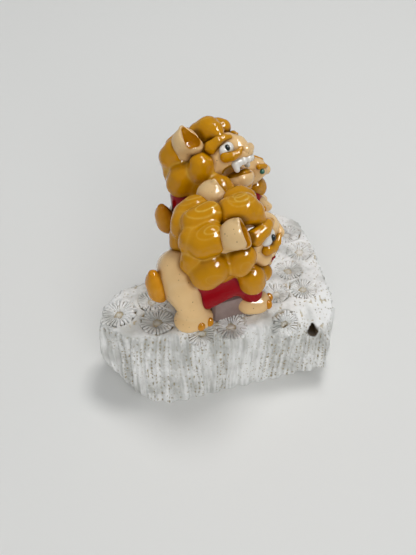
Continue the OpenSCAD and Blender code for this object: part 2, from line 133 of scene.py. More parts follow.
def skin(field, low, cell):
    """Points and four-sided faces of the surface where a grid of distances crosses zero."""
    cells = np.array(field.shape) - 1
    corners, crossings = [], []
    for axis in range(3):
        start = [slice(None)] * 3
        stop = [slice(None)] * 3
        start[axis] = slice(None, -1)
        stop[axis] = slice(1, None)
        a, b = field[tuple(start)], field[tuple(stop)]
        crossed = (a < 0) != (b < 0)
        at = np.argwhere(crossed)
        a, b = a[crossed], b[crossed]
        point = at.astype(float)
        point[:, axis] += a / (a - b)
        ring = []
        for u, v in ((1, 1), (0, 1), (0, 0), (1, 0)):
            shifted = at.copy()
            shifted[:, (axis + 1) % 3] -= u
            shifted[:, (axis + 2) % 3] -= v
            ring.append(np.ravel_multi_index(shifted.T, cells))
        ring = np.stack(ring, 1)
        ring[b < 0] = ring[b < 0, ::-1]
        corners.append(ring)
        crossings.append(np.repeat(point[:, None], 4, 1))
    corners = np.concatenate(corners)
    crossings = np.concatenate(crossings).reshape(-1, 3)
    faces = np.unique(corners, return_inverse=True)[1].reshape(-1)
    count = np.bincount(faces)
    points = np.stack([np.bincount(faces, crossings[:, k]) / count for k in range(3)], 1)
    return low + points * cell, faces.reshape(-1, 4)


def add_piece(name, points, faces):
    """A smooth mesh object from points in millimetres."""
    mesh = bpy.data.meshes.new(name)
    mesh.vertices.add(len(points))
    mesh.vertices.foreach_set("co", (points * 0.001).astype(np.float32).ravel())
    mesh.loops.add(faces.size)
    mesh.loops.foreach_set("vertex_index", faces.astype(np.int32).ravel())
    mesh.polygons.add(len(faces))
    mesh.polygons.foreach_set("loop_start", np.arange(0, faces.size, faces.shape[1], dtype=np.int32))
    mesh.update(calc_edges=True)
    mesh.validate()
    mesh.shade_smooth()
    piece = bpy.data.objects.new(name, mesh)
    bpy.context.scene.collection.objects.link(piece)
    return piece


def points_of(piece):
    """A piece's points in millimetres and the ways its surface faces there."""
    count = len(piece.data.vertices)
    points = np.empty(count * 3, np.float32)
    ways = np.empty(count * 3, np.float32)
    piece.data.vertices.foreach_get("co", points)
    piece.data.vertex_normals.foreach_get("vector", ways)
    return points.reshape(-1, 3).astype(float) * 1000, ways.reshape(-1, 3).astype(float)


def paint(piece, name, values):
    """Store one number for each point of a piece, for its material to read."""
    layer = piece.data.attributes.get(name) or piece.data.attributes.new(name, "FLOAT", "POINT")
    layer.data.foreach_set("value", values.astype(np.float32))


def column_gaps():
    """Middle of each upright groove between the coral's columns."""
    rim = block_rim * block_size[:2]
    for start, end in zip(rim, np.roll(rim, -1, 0)):
        run = np.linalg.norm(end - start)
        out = np.array((end[1] - start[1], start[0] - end[0])) / run
        count = round(run / groove_pitch)
        for number in range(count):
            yield start + (end - start) * (number + 0.5) / count + out * groove_centre


def block_field(points_x, points_y, points_z):
    """Distances to the broken block on a grid, negative inside."""
    x, y = np.meshgrid(points_x, points_y, indexing="ij")
    rim = block_rim * block_size[:2]
    nearest = np.full(x.shape, 1e9)
    inside = np.zeros(x.shape, bool)
    for (ax, ay), (bx, by) in zip(rim, np.roll(rim, -1, 0)):
        run_x, run_y = bx - ax, by - ay
        share = ((x - ax) * run_x + (y - ay) * run_y) / (run_x ** 2 + run_y ** 2)
        share = np.clip(share, 0, 1)
        gap = np.hypot(x - ax - share * run_x, y - ay - share * run_y)
        nearest = np.minimum(nearest, gap)
        if ay != by:
            inside ^= ((ay > y) != (by > y)) & (x < ax + (y - ay) * run_x / run_y)
    side = np.where(inside, -nearest, nearest)
    grooved = side
    for gap_x, gap_y in column_gaps():
        groove = groove_depth + groove_centre - np.hypot(x - gap_x, y - gap_y)
        grooved = smooth_max(grooved, groove, 0.9)
    z = points_z[None, None, :]
    worn = 0.7 * fade(z, block_size[2] - 8, block_size[2] - 1)
    side = side[:, :, None] + (grooved - side)[:, :, None] * (1 - worn)
    field = smooth_max(side, z - block_size[2] + 0.2, edge_wear)
    for place, way in block_breaks:
        way = np.array(way) / np.linalg.norm(way)
        place = np.array(place) * block_size
        field = smooth_max(field, (x[:, :, None] - place[0]) * way[0]
                           + (y[:, :, None] - place[1]) * way[1] + (z - place[2]) * way[2], edge_wear)
    return np.maximum(field, -z)


def worm_distance(points):
    """Distances to the worm's burrow in the front corner."""
    start = np.array(worm_mouth) * block_size - (0, 2, 0)
    way = np.array((0, math.sin(worm_tilt), math.cos(worm_tilt)))
    offset = points - start
    along = np.clip(offset @ way, 0, worm_length)
    return np.linalg.norm(offset - along[..., None] * way, axis=-1) - worm_width / 2


block_steps = [np.arange(low - 2, high + 2, block_cell) for low, high in
               zip(np.append(-block_size[:2] / 2, 0), np.append(block_size[:2] / 2, block_size[2]))]
field = block_field(*block_steps)

# The burrow is cut only where the grid is near it, to save time
near_hole = [(axis > low) & (axis < high) for axis, low, high in
             zip(block_steps, (18, -40, 12), (30, -15, 30))]
window = np.ix_(*near_hole)
grid = np.stack(np.meshgrid(*(s[m] for s, m in zip(block_steps, near_hole)), indexing="ij"), -1)
field[window] = smooth_max(field[window], -worm_distance(grid), 0.8)
points, faces = skin(field, np.array([steps[0] for steps in block_steps]), block_cell)
coral = add_piece("coral_block_stone", points, faces)
points, ways = points_of(coral)

# Each cup is centred on the highest point of the stone above its place
cup_spots = []
for share_x, share_y, share_size in block_cups:
    place = np.array((share_x, share_y)) * block_size[:2]
    around = np.hypot(*(points[:, :2] - place).T) < 1.2
    outer = around & (ways[:, 2] > 0.1) if (around & (ways[:, 2] > 0.1)).any() else around
    spot = points[outer].mean(0)
    way = ways[outer].mean(0)
    cup_spots.append((spot, way / np.linalg.norm(way), cup_width * share_size / 2))

sideways = 1 - fade(np.abs(ways[:, 2]), 0.45, 0.8)

# How far round the rim each point lies, so that rows of pores can follow the upright tubes
rim = block_rim * block_size[:2]
nearest = np.full(len(points), 1e9)
across = np.zeros(len(points))
walked = 0
for start, end in zip(rim, np.roll(rim, -1, 0)):
    run = np.linalg.norm(end - start)
    share = np.clip((points[:, :2] - start) @ (end - start) / run ** 2, 0, 1)
    gap = np.linalg.norm(points[:, :2] - start - share[:, None] * (end - start), axis=1)
    across = np.where(gap < nearest, walked + share * run, across)
    nearest = np.minimum(nearest, gap)
    walked += run
across += mottle(points * (1, 1, 0.6), 12, 1) * 1.6
band = fade(mottle(np.stack([across, points[:, 2] * 0.12, 0 * across], 1), 4.6, 3), -0.25, 0.2)
rows = (np.cos(across * 2 * math.pi / hollow_pitch[0])
        * np.cos(points[:, 2] * 2 * math.pi / hollow_pitch[1] + across))
ribs = rib_height * np.cos(across * 2 * math.pi / rib_pitch + mottle(points, 6, 2))
height = sideways * (ribs - hollow_depth * band * fade(rows, -0.1, 0.9))

# The cups are shallow dishes with a spongy middle and a low worn lip
in_cup = np.zeros(len(points))
pit = np.zeros(len(points))
for spot, way, radius in cup_spots:
    from_spot = points - spot
    rise = from_spot @ way
    reach = np.linalg.norm(from_spot - rise[:, None] * way, axis=1) + mottle(points, 2.5, 6) * 0.5
    facing = fade(ways @ way, 0.35, 0.8) * fade(-np.abs(rise), -4, -2.5)
    dish = fade(-reach, -radius * 0.98, -radius * 0.84) * facing
    middle = np.exp(-(reach / 1.5) ** 2) * facing
    lip = np.exp(-((reach - radius * 1.12) / 0.9) ** 2) * facing
    height += -cup_depth * dish + 0.45 * middle + 0.18 * lip
    in_cup = np.maximum(in_cup, dish)
    pit = np.maximum(pit, dish * (1 - 0.6 * middle))

# Everywhere else the stone is worn, chalky and full of small pores
plain = (1 - in_cup) * (1 - 0.8 * sideways)
pores = fade(mottle(points, 0.8, 7) + 0.35 * mottle(points, 3, 8), 0.45, 0.8) * plain
height += mottle(points, 11, 9) * 0.35 + mottle(points, 2.8, 10) * 0.22 + mottle(points, 0.9, 11) * 0.09
height -= pores * 0.35 + 0.1
# Painted shade: this marks the inside of the worm's burrow, which the stone's colour turns dark brown to
# stand in for the shade in the hole
burrow_shade = fade(-worm_distance(points), -0.5, -0.1) * fade(points[:, 1], -31, -29.5)
pit = np.maximum(pit, pores * 0.7)
standing = fade(points[:, 2], 0.0, 2.0)
points += ways * (height * standing)[:, None]
points[:, 2] = np.clip(points[:, 2], 0, None)
coral.data.vertices.foreach_set("co", (points * 0.001).astype(np.float32).ravel())
coral.data.update()
for name, values in (("pit", np.clip(pit, 0, 1)), ("burrow_shade", burrow_shade), ("across", across),
                     ("side", sideways * (1 - in_cup)), ("band", band * sideways * (1 - in_cup))):
    paint(coral, name, values)


def settle(piece):
    """Turn a piece's modifiers into plain mesh."""
    mesh = bpy.data.meshes.new_from_object(piece.evaluated_get(bpy.context.evaluated_depsgraph_get()))
    piece.modifiers.clear()
    old = piece.data
    piece.data = mesh
    mesh.name = piece.name
    bpy.data.meshes.remove(old)


thin = coral.modifiers.new("thin", "DECIMATE")
thin.ratio = min(1, coral_triangles / (2 * len(faces)))
settle(coral)


def add_node(tree, kind, inputs=None, **settings):
    """Add a node with its settings. An input is a value, a socket, or a node for its first output.

    Inputs that share a name go by number, such as 6 and 7 for the two colours of a mix.
    """
    node = tree.nodes.new(kind)
    for name, value in settings.items():
        setattr(node, name, value)
    for name, value in (inputs or {}).items():
        if isinstance(value, bpy.types.Node):
            value = next(socket for socket in value.outputs if socket.enabled)
        if isinstance(value, bpy.types.NodeSocket):
            tree.links.new(value, node.inputs[name])
        else:
            node.inputs[name].default_value = value
    return node


def srgb(code, alpha=1):
    """Linear colour of an sRGB hex value."""
    parts = [int(code[i:i + 2], 16) / 255 for i in (0, 2, 4)]
    return [p / 12.92 if p <= 0.04045 else ((p + 0.055) / 1.055) ** 2.4 for p in parts] + [alpha]


def blank_material(name):
    """An empty material with its node tree."""
    material = bpy.data.materials.new(name)
    material.use_nodes = True
    material.node_tree.nodes.clear()
    return material, material.node_tree


def finish_shader(tree, shader):
    """Link a shader to the material's output."""
    output = add_node(tree, "ShaderNodeOutputMaterial")
    tree.links.new(shader.outputs[0], output.inputs["Surface"])


# Aragonite turned to chalky limestone: matt, cold white where it is worn, and stained tan in
# its pores and cups. Inside the worm's burrow it is painted dark brown, as painted shade for the
# dim hole. Its slot pores are 0.5 mm wide and its grit is finer than a pixel, so both
# are colour and bump. The carved hollows, cups and columns under them are in the mesh.
limestone, tree = blank_material("weathered_coral_limestone")
place = add_node(tree, "ShaderNodeTexCoord").outputs["Object"]
painted = {name: add_node(tree, "ShaderNodeAttribute", attribute_name=name).outputs["Fac"]
           for name in ("pit", "across", "band", "side", "burrow_shade")}
cloud = add_node(tree, "ShaderNodeTexNoise", {"Vector": place, "Scale": 110, "Detail": 4})
grit = add_node(tree, "ShaderNodeTexNoise", {"Vector": place, "Scale": 1500, "Detail": 3})
drift = add_node(tree, "ShaderNodeTexNoise", {"Vector": place, "Scale": 420, "Detail": 1})

# Rows of slot-shaped pores run down the tubes, 1.15 mm apart, and some of them are closed
height_up = add_node(tree, "ShaderNodeSeparateXYZ", {0: place}).outputs["Z"]
tube = add_node(tree, "ShaderNodeMath", {0: painted["across"], 1: 1.15}, operation="DIVIDE")
row = add_node(tree, "ShaderNodeMath", {0: drift, 1: 0.7, 2: tube}, operation="MULTIPLY_ADD")
rank = add_node(tree, "ShaderNodeMath", {0: row}, operation="FLOOR")
stagger = add_node(tree, "ShaderNodeMath", {0: rank, 1: 0.47}, operation="MULTIPLY")
level = add_node(tree, "ShaderNodeMath", {0: height_up, 1: 760, 2: stagger}, operation="MULTIPLY_ADD")
rung = add_node(tree, "ShaderNodeMath", {0: drift, 1: 1.2, 2: level}, operation="MULTIPLY_ADD")
slot_place = add_node(tree, "ShaderNodeCombineXYZ", {"X": row, "Y": rung})
slot_cell = add_node(tree, "ShaderNodeVectorMath", {0: slot_place}, operation="FLOOR")
chance = add_node(tree, "ShaderNodeTexWhiteNoise", {"Vector": slot_cell}, noise_dimensions="2D")
in_cell = add_node(tree, "ShaderNodeVectorMath", {0: slot_place}, operation="FRACTION")
aside = add_node(tree, "ShaderNodeVectorMath", {0: in_cell, 1: (0.5, 0.5, 0)}, operation="SUBTRACT")
stretched = add_node(tree, "ShaderNodeVectorMath", {0: aside, 1: (3.4, 2.4, 0)}, operation="MULTIPLY")
off_centre = add_node(tree, "ShaderNodeVectorMath", {0: stretched}, operation="LENGTH").outputs["Value"]

# Round pores, 1 mm apart, are scattered over the rest in patches
speck = add_node(tree, "ShaderNodeTexVoronoi", {"Vector": place, "Scale": 950}, feature="F1")
slot_shape, open_share, speck_shape, patch = (
    add_node(tree, "ShaderNodeMapRange", {"Value": value, "From Min": start, "From Max": end,
                                          "To Min": first, "To Max": last},
             interpolation_type="SMOOTHSTEP")
    for value, start, end, first, last in (
        (off_centre, 0.35, 1, 1, 0), (chance, 0.3, 0.8, 0, 1),
        (speck, 0.1, 0.3, 1, 0), (cloud, 0.42, 0.56, 0, 1)))
open_slot = add_node(tree, "ShaderNodeMath", {0: slot_shape, 1: open_share}, operation="MULTIPLY")
slot_hole = add_node(tree, "ShaderNodeMath", {0: open_slot, 1: painted["band"]}, operation="MULTIPLY")
speck_hole = add_node(tree, "ShaderNodeMath", {0: speck_shape, 1: patch}, operation="MULTIPLY")
shallow = add_node(tree, "ShaderNodeMath", {0: speck_hole, 1: 0.8}, operation="MULTIPLY")
holes = add_node(tree, "ShaderNodeMath", {0: slot_hole, 1: shallow}, operation="MAXIMUM")

# The chalk is whiter and greyer in streaks down the tubes, and in clouds on top
tube_way = add_node(tree, "ShaderNodeMath", {0: height_up, 1: 90}, operation="MULTIPLY")
along_tube = add_node(tree, "ShaderNodeCombineXYZ", {"X": painted["across"], "Z": tube_way})
tube_streak = add_node(tree, "ShaderNodeTexNoise", {"Vector": along_tube, "Scale": 0.8, "Detail": 3})
streak_share = add_node(tree, "ShaderNodeMath", {0: painted["side"], 1: 0.5}, operation="MULTIPLY")
chalkiness = add_node(tree, "ShaderNodeMix", {"Factor": streak_share, 2: cloud, 3: tube_streak})
chalk_share = add_node(tree, "ShaderNodeMapRange",
                       {"Value": chalkiness, "From Min": 0.34, "From Max": 0.6},
                       interpolation_type="SMOOTHSTEP")
stain_share = add_node(tree, "ShaderNodeMapRange",
                       {"Value": painted["pit"], "From Min": 0.2, "From Max": 0.95},
                       interpolation_type="SMOOTHSTEP")
stone_colour = add_node(tree, "ShaderNodeMix", {"Factor": chalk_share, 6: srgb("BBBBB6"),
                                                7: srgb("EAEAE8")}, data_type="RGBA")
# The last of these colours is painted shade: dark brown inside the burrow, where little light reaches
for share, code in ((stain_share, "A8966E"), (holes, "AFA48A"), (painted["burrow_shade"], "3E301D")):
    stone_colour = add_node(tree, "ShaderNodeMix", {"Factor": share, 6: stone_colour, 7: srgb(code)},
                            data_type="RGBA")
pit_bump = add_node(tree, "ShaderNodeBump", {"Height": holes, "Strength": 0.7, "Distance": 0.0004},
                    invert=True)
grit_bump = add_node(tree, "ShaderNodeBump", {"Height": grit, "Strength": 0.6, "Distance": 0.00012,
                                              "Normal": pit_bump})
finish_shader(tree, add_node(tree, "ShaderNodeBsdfPrincipled",
                             {"Base Color": stone_colour, "Normal": grit_bump, "Roughness": 0.9,
                              "Specular IOR Level": 0.25}))
coral.data.materials.append(limestone)
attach(coral, "root")
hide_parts("coral_block")

# Star cups
# Each polyp sat in a ring of thin upright blades of stone. They stand in the dish of the
# cup, thick at the rim and thin towards the middle, and some are worn low or short.
blade_tree = bpy.data.node_groups.new("star_of_blades", "GeometryNodeTree")
for name, kind, way in (("Cups", "Geometry", "INPUT"), ("Blades", "Int", "INPUT"),
                        ("Length", "Float", "INPUT"), ("Thickness", "Float", "INPUT"),
                        ("Depth", "Float", "INPUT"), ("Seed", "Int", "INPUT"),
                        ("Material", "Material", "INPUT"), ("Stars", "Geometry", "OUTPUT")):
    blade_tree.interface.new_socket(name, in_out=way, socket_type="NodeSocket" + kind)
given = add_node(blade_tree, "NodeGroupInput").outputs
size = add_node(blade_tree, "ShaderNodeCombineXYZ", {"X": given["Length"], "Y": given["Thickness"],
                                                     "Z": given["Depth"]})
bar = add_node(blade_tree, "GeometryNodeMeshCube",
               {"Size": size, "Vertices X": 5, "Vertices Y": 2, "Vertices Z": 3})
spot = add_node(blade_tree, "GeometryNodeInputPosition")
axes = add_node(blade_tree, "ShaderNodeSeparateXYZ", {0: spot}).outputs
share = add_node(blade_tree, "ShaderNodeMath", {0: axes["X"], 1: given["Length"]}, operation="DIVIDE")
widening = add_node(blade_tree, "ShaderNodeMath", {0: share, 1: 1.3, 2: 1.0}, operation="MULTIPLY_ADD")
wide = add_node(blade_tree, "ShaderNodeMath", {0: axes["Y"], 1: widening}, operation="MULTIPLY")
sag = add_node(blade_tree, "ShaderNodeMath", {0: share, 1: 0.5}, operation="SUBTRACT")
sag_squared = add_node(blade_tree, "ShaderNodeMath", {0: sag, 1: 2}, operation="POWER")
drop = add_node(blade_tree, "ShaderNodeMath", {0: sag_squared, 1: -0.0009, 2: axes["Z"]},
                operation="MULTIPLY_ADD")
push = add_node(blade_tree, "ShaderNodeMath", {0: given["Length"], 1: 0.8, 2: axes["X"]},
                operation="MULTIPLY_ADD")
shaped = add_node(blade_tree, "ShaderNodeCombineXYZ", {"X": push, "Y": wide, "Z": drop})
blade = add_node(blade_tree, "GeometryNodeSetPosition", {"Geometry": bar, "Position": shaped})
soft_blade = add_node(blade_tree, "GeometryNodeSubdivisionSurface", {"Mesh": blade, "Level": 1})
hub = add_node(blade_tree, "GeometryNodeMeshCircle", {"Vertices": given["Blades"], "Radius": 0.0001})
outward = add_node(blade_tree, "FunctionNodeAlignRotationToVector", {"Vector": spot}, axis="X")
worn = add_node(blade_tree, "FunctionNodeRandomValue",
                {0: (0.86, 0.8, 0.8), 1: (1.08, 1.3, 1.1), "Seed": given["Seed"]},
                data_type="FLOAT_VECTOR")
star = add_node(blade_tree, "GeometryNodeInstanceOnPoints",
                {"Points": hub, "Instance": soft_blade, "Rotation": outward, "Scale": worn})
lift = add_node(blade_tree, "GeometryNodeInputNamedAttribute", {"Name": "lift"},
                data_type="FLOAT_VECTOR")
share_of_size = add_node(blade_tree, "GeometryNodeInputNamedAttribute", {"Name": "size"},
                         data_type="FLOAT")
upward = add_node(blade_tree, "FunctionNodeAlignRotationToVector",
                  {"Vector": lift.outputs["Attribute"]}, axis="Z")
spin = add_node(blade_tree, "FunctionNodeRandomValue", {2: 0.0, 3: 6.28, "Seed": given["Seed"]},
                data_type="FLOAT")
spin_way = add_node(blade_tree, "ShaderNodeCombineXYZ", {"Z": spin})
spun = add_node(blade_tree, "FunctionNodeRotateRotation", {0: upward, 1: spin_way},
                rotation_space="LOCAL")
stars = add_node(blade_tree, "GeometryNodeInstanceOnPoints",
                 {"Points": given["Cups"], "Instance": star, "Rotation": spun,
                  "Scale": share_of_size.outputs["Attribute"]})
loose = add_node(blade_tree, "GeometryNodeRealizeInstances", {0: stars})
wobble = add_node(blade_tree, "ShaderNodeTexNoise", {"Scale": 520, "Detail": 1})
centred = add_node(blade_tree, "ShaderNodeVectorMath",
                   {0: wobble.outputs["Color"], 1: (0.5, 0.5, 0.5)}, operation="SUBTRACT")
shift = add_node(blade_tree, "ShaderNodeVectorMath", {0: centred, 1: (0.0011, 0.0011, 0.0011)},
                 operation="MULTIPLY")
bent = add_node(blade_tree, "GeometryNodeSetPosition", {"Geometry": loose, "Offset": shift})
stone = add_node(blade_tree, "GeometryNodeSetMaterial", {"Geometry": bent, "Material": given["Material"]})
add_node(blade_tree, "NodeGroupOutput", {0: stone})

blades = bpy.data.objects.new("coral_star_blades", bpy.data.meshes.new("coral_star_blades"))
bpy.context.scene.collection.objects.link(blades)
blades.data.from_pydata([tuple((spot - way * 0.6) * 0.001) for spot, way, radius in cup_spots], [], [])
lift_layer = blades.data.attributes.new("lift", "FLOAT_VECTOR", "POINT")
lift_layer.data.foreach_set("vector", np.array([way for spot, way, radius in cup_spots]).ravel())
paint(blades, "size", np.array([radius * 2 / cup_width for spot, way, radius in cup_spots]))
growth = blades.modifiers.new("growth", "NODES")
growth.node_group = blade_tree
blade_sizes = {"Blades": 26, "Length": 0.0041, "Thickness": 0.00062, "Depth": 0.0016, "Seed": 4,
               "Material": limestone}
for item in blade_tree.interface.items_tree:
    if item.name in blade_sizes:
        growth[item.identifier] = blade_sizes[item.name]
settle(blades)
points, ways = points_of(blades)
deep = np.zeros(len(points))
for spot, way, radius in cup_spots:
    near_cup = np.linalg.norm(points - spot, axis=1) < radius + 2
    deep[near_cup] = fade(-((points[near_cup] - spot) @ way), 0.6, 1.6)
paint(blades, "pit", deep)
blades.data.shade_smooth()
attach(blades, "root")
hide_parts("coral_block")

# Clay pads
# Flat pads of bare clay carry the lions' bellies. They were never glazed, so they stay matt
# mauve grey, with the fine grain of fired clay.
clay_cell = 0.27
coral_top = 27
feet_sink = 0.7


def turned(x, y, z):
    """A turn about X, then Y, then Z, in degrees."""
    return Euler([math.radians(v) for v in (x, y, z)], "XYZ").to_matrix().to_4x4()


near_place = Matrix.Translation((-2, -12, coral_top))
rear_place = Matrix.Translation((9, 17, coral_top)) @ Matrix.Scale(0.95, 4)
cub_place = Matrix.Translation((25, 25.5, coral_top))
lions = {
    "near": {"body": near_place, "head": near_place @ Matrix.Translation((1.9, 0, 22.2)),
             "sitting": False, "reach": 9.8, "hind": -9.6, "made": [], "lumps": []},
    "rear": {"body": rear_place,
             "head": rear_place @ Matrix.Translation((-3.5, -1.2, 30.2)) @ turned(-28, -31, -30)
             @ Matrix.Scale(0.92, 4),
             "sitting": True, "reach": 6.6, "hind": -5, "made": [], "lumps": []}}
cub = {"body": cub_place, "made": [], "lumps": []}


def roll(start, end, start_radius, end_radius=None):
    """A lump rolled between two balls of clay, each with one radius or three."""
    end_radius = start_radius if end_radius is None else end_radius
    return (np.array(start, float), np.array(end, float),
            np.array(start_radius) * np.ones(3), np.array(end_radius) * np.ones(3))


def strand(points, radii):
    """A rope of clay through several points, with a radius at each."""
    return [roll(a, b, ra, rb) for a, b, ra, rb in zip(points, points[1:], radii, radii[1:])]


def both(lumps):
    """The lumps and their mirror images on the other side of the figure."""
    flip = np.array((1, -1, 1))
    return [*lumps, *((a * flip, b * flip, ra, rb) for a, b, ra, rb in lumps)]


def roll_distance(points, lump):
    """Distance from each point to a rolled lump, negative inside."""
    a, b, ra, rb = lump
    mean = (ra + rb) / 2
    run = (b - a) / mean
    share = np.clip(((points - a) / mean) @ run / max(run @ run, 1e-9), 0, 1)[:, None]
    radius = ra + (rb - ra) * share
    offset = points - a - (b - a) * share + 1e-5
    first = np.sqrt(((offset / radius) ** 2).sum(1))
    second = np.sqrt(((offset / radius ** 2) ** 2).sum(1))
    return first * (first - 1) / second


def clay_field(lumps, cell, blend, margin=2.0):
    """Grid of distances to lumps pressed together, with the grid's lowest corner."""
    low = np.min([np.minimum(a - ra, b - rb) for a, b, ra, rb in lumps], 0) - margin
    high = np.max([np.maximum(a + ra, b + rb) for a, b, ra, rb in lumps], 0) + margin
    steps = [np.arange(l, h, cell) for l, h in zip(low, high)]
    field = np.full([len(s) for s in steps], 5.0)
    for lump in lumps:
        press(field, low, cell, lump, blend, 1)
    return field, low


def press(field, low, cell, lump, blend, sign):
    """Add a lump to a grid of distances, or cut its hollow where sign is -1."""
    a, b, ra, rb = lump
    pad = blend + 2 * cell + 0.6
    first = np.floor((np.minimum(a - ra, b - rb) - pad - low) / cell).astype(int)
    last = np.ceil((np.maximum(a + ra, b + rb) + pad - low) / cell).astype(int)
    first = np.clip(first, 0, field.shape)
    last = np.clip(last, 0, field.shape)
    box = tuple(slice(f, l) for f, l in zip(first, last))
    part = field[box]
    if not part.size:
        return
    grid = np.stack(np.meshgrid(*(low[k] + cell * np.arange(first[k], last[k]) for k in range(3)),
                                indexing="ij"), -1).reshape(-1, 3)
    gap = roll_distance(grid, lump).reshape(part.shape)
    if sign > 0:
        field[box] = -smooth_max(-part, -gap, blend)
    else:
        field[box] = smooth_max(part, -gap, blend)


def model_clay(name, figure, place, lumps, blend=0.8, hollows=(), hollow_blend=0.5, floor=None,
               cell=None, relief=None, lining=()):
    """One lump of clay, modelled in its figure's own frame and set in its place."""
    cell = cell or clay_cell
    field, low = clay_field(lumps, cell, blend)
    for hollow in hollows:
        press(field, low, cell, hollow, hollow_blend, -1)
    if floor is not None:
        height = low[2] + cell * np.arange(field.shape[2])
        field = smooth_max(field, (floor - height)[None, None, :], 0.3)
    points, faces = skin(field, low, cell)
    line = np.zeros(len(points))
    if relief:
        bare = add_piece("bare", points, faces)
        ways = points_of(bare)[1]
        height, line = relief(points, ways)
        points = points + ways * height[:, None]
        bpy.data.meshes.remove(bare.data)
    matrix = np.array(place)
    piece = add_piece(name, points @ matrix[:3, :3].T + matrix[:3, 3], faces)
    paint(piece, "line", line)
    if lining:
        depth = np.min([roll_distance(points, lump) for lump in lining], 0)
        paint(piece, "lined", fade(-np.abs(depth), -0.5, -0.2))
    figure["made"].append(piece)
    back = np.linalg.inv(matrix)
    figure["lumps"] += [(back, np.linalg.norm(matrix[:3, 0]), lump) for lump in lumps]
    return piece


def fix(piece, slot, material, *nodes):
    """Give a piece its material and its place on the ornament."""
    piece.data.materials.clear()
    piece.data.materials.append(material)
    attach(piece, "root")
    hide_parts(*nodes)


bisque, tree = blank_material("bare_fired_clay")
place = add_node(tree, "ShaderNodeTexCoord").outputs["Object"]
cloud = add_node(tree, "ShaderNodeTexNoise", {"Vector": place, "Scale": 260, "Detail": 5})
grain = add_node(tree, "ShaderNodeTexNoise", {"Vector": place, "Scale": 2600, "Detail": 2})
clay_colour = add_node(tree, "ShaderNodeMix", {"Factor": cloud, 6: srgb("78635C"), 7: srgb("A08E88")},
                       data_type="RGBA")
grain_bump = add_node(tree, "ShaderNodeBump", {"Height": grain, "Strength": 0.5, "Distance": 0.0001})
finish_shader(tree, add_node(tree, "ShaderNodeBsdfPrincipled",
                             {"Base Color": clay_colour, "Roughness": 0.85, "Normal": grain_bump,
                              "Specular IOR Level": 0.3}))

# Each pad: how far its middle lies forward, its half length and its half width
pad_shapes = {"near": (2.1, 5.6, 7.6), "rear": (0, 4.2, 3.2)}
pad_rim = [(-1, -0.86), (-0.88, -1), (0.88, -1), (1, -0.86), (1, 0.86), (0.88, 1), (-0.88, 1), (-1, 0.86)]
pad_rows = [(-feet_sink, 1.0), (0.4, 1.0), (5.5, 0.97), (6.4, 0.93)]
for side, lion in lions.items():
    forward, half_x, half_y = pad_shapes[side]
    mesh = bpy.data.meshes.new(side + "_pad_clay")
    corners = [(forward + half_x * a * share, half_y * b * share, height)
               for height, share in pad_rows for a, b in pad_rim]
    sides = [(r * 8 + i, r * 8 + (i + 1) % 8, (r + 1) * 8 + (i + 1) % 8, (r + 1) * 8 + i)
             for r in range(len(pad_rows) - 1) for i in range(8)]
    mesh.from_pydata([tuple(lion["body"] @ Vector(corner) * 0.001) for corner in corners], [],
                     [*sides, tuple(range(7, -1, -1)), tuple(range(24, 32))])
    pad = bpy.data.objects.new(mesh.name, mesh)
    bpy.context.scene.collection.objects.link(pad)
    fix(pad, "bisque_clay", bisque, side + "_pad")

# Trunks
# The body of each lion is one fat roll of clay under a dipped coat of copper-red glaze. The
# glaze is glossy, and it turns maroon where it runs thick into the creases.


def glaze(name, body, pooled, thin, speck=None, pooling=1.0, rims=0.5, lined=None, gloss=0.3):
    """A fired glaze: its body colour, where it pools in creases and where it thins on edges."""
    material, tree = blank_material(name)
    place = add_node(tree, "ShaderNodeTexCoord").outputs["Object"]
    crease, edge, line = (add_node(tree, "ShaderNodeAttribute", attribute_name=layer).outputs["Fac"]
                          for layer in ("crease", "edge", "line"))
    cloud = add_node(tree, "ShaderNodeTexNoise", {"Vector": place, "Scale": 190, "Detail": 3})
    streak = add_node(tree, "ShaderNodeTexNoise", {"Vector": place, "Scale": 900, "Detail": 2})
    run = add_node(tree, "ShaderNodeMath", {0: cloud, 1: 0.5, 2: -0.25}, operation="MULTIPLY_ADD")
    thick = add_node(tree, "ShaderNodeMath", {0: crease, 1: pooling, 2: run},
                     operation="MULTIPLY_ADD", use_clamp=True)
    worn = add_node(tree, "ShaderNodeMath", {0: edge, 1: rims, 2: line},
                    operation="MULTIPLY_ADD", use_clamp=True)
    ragged = add_node(tree, "ShaderNodeMapRange",
                      {"Value": streak, "From Min": 0.25, "From Max": 0.6, "To Min": 0.45})
    broken = add_node(tree, "ShaderNodeMath", {0: worn, 1: ragged}, operation="MULTIPLY")
    layers = [(thick, pooled), (broken, thin)]
    if speck:
        dots = add_node(tree, "ShaderNodeTexVoronoi", {"Vector": place, "Scale": 620})
        dot = add_node(tree, "ShaderNodeMapRange",
                       {"Value": dots, "From Min": 0.06, "From Max": 0.17, "To Min": 1, "To Max": 0},
                       interpolation_type="SMOOTHSTEP")
        patch = add_node(tree, "ShaderNodeMapRange", {"Value": cloud, "From Min": 0.42, "From Max": 0.58,
                                                      "To Min": 0.05, "To Max": 0.7})
        dotted = add_node(tree, "ShaderNodeMath", {0: dot, 1: patch}, operation="MULTIPLY")
        layers.append((dotted, speck))
    if lined:
        inside = add_node(tree, "ShaderNodeAttribute", attribute_name="lined").outputs["Fac"]
        layers.append((inside, lined))
    colour = srgb(body)
    for share, code in layers:
        colour = add_node(tree, "ShaderNodeMix", {"Factor": share, 6: colour, 7: srgb(code)},
                          data_type="RGBA")
    ripple = add_node(tree, "ShaderNodeTexNoise", {"Vector": place, "Scale": 330, "Detail": 1})
    peel = add_node(tree, "ShaderNodeBump", {"Height": ripple, "Strength": 0.2, "Distance": 0.0004})
    finish_shader(tree, add_node(tree, "ShaderNodeBsdfPrincipled",
                                 {"Base Color": colour, "Normal": peel, "Roughness": 0.06,
                                  "Specular IOR Level": gloss}))
    return material


